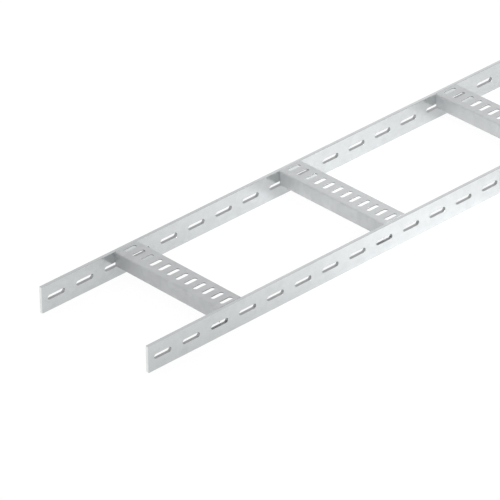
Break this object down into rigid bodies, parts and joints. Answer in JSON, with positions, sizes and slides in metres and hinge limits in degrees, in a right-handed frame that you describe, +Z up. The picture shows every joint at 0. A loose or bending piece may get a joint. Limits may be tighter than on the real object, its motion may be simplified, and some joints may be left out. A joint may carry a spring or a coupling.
{
  "type": "cable ladder section",
  "caption": "Straight cable ladder section: two slotted flat-bar side rails joined by slotted folded rungs at even spacing, in galvanised steel.",
  "frame": {"origin": "halfway along and across the ladder, at the level of the side rails' bottom edges", "axes": "+X along the rails, +Y across them towards the far rail, +Z up from the rails' bottom edges to the rungs' tops"},
  "size_m": [3, 0.21, 0.04],
  "materials": {
    "rail_steel": "galvanised flat bar, satin",
    "rung_steel": "galvanised folded sheet, satin"
  },
  "bodies": {
    "root": {"near_rail": "rail_steel", "far_rail": "rail_steel", "rung_1": "rung_steel", "rung_2": "rung_steel", "rung_3": "rung_steel", "rung_4": "rung_steel", "rung_5": "rung_steel", "rung_6": "rung_steel", "rung_7": "rung_steel", "rung_8": "rung_steel", "rung_9": "rung_steel", "rung_10": "rung_steel"}
  },
  "joints": []
}
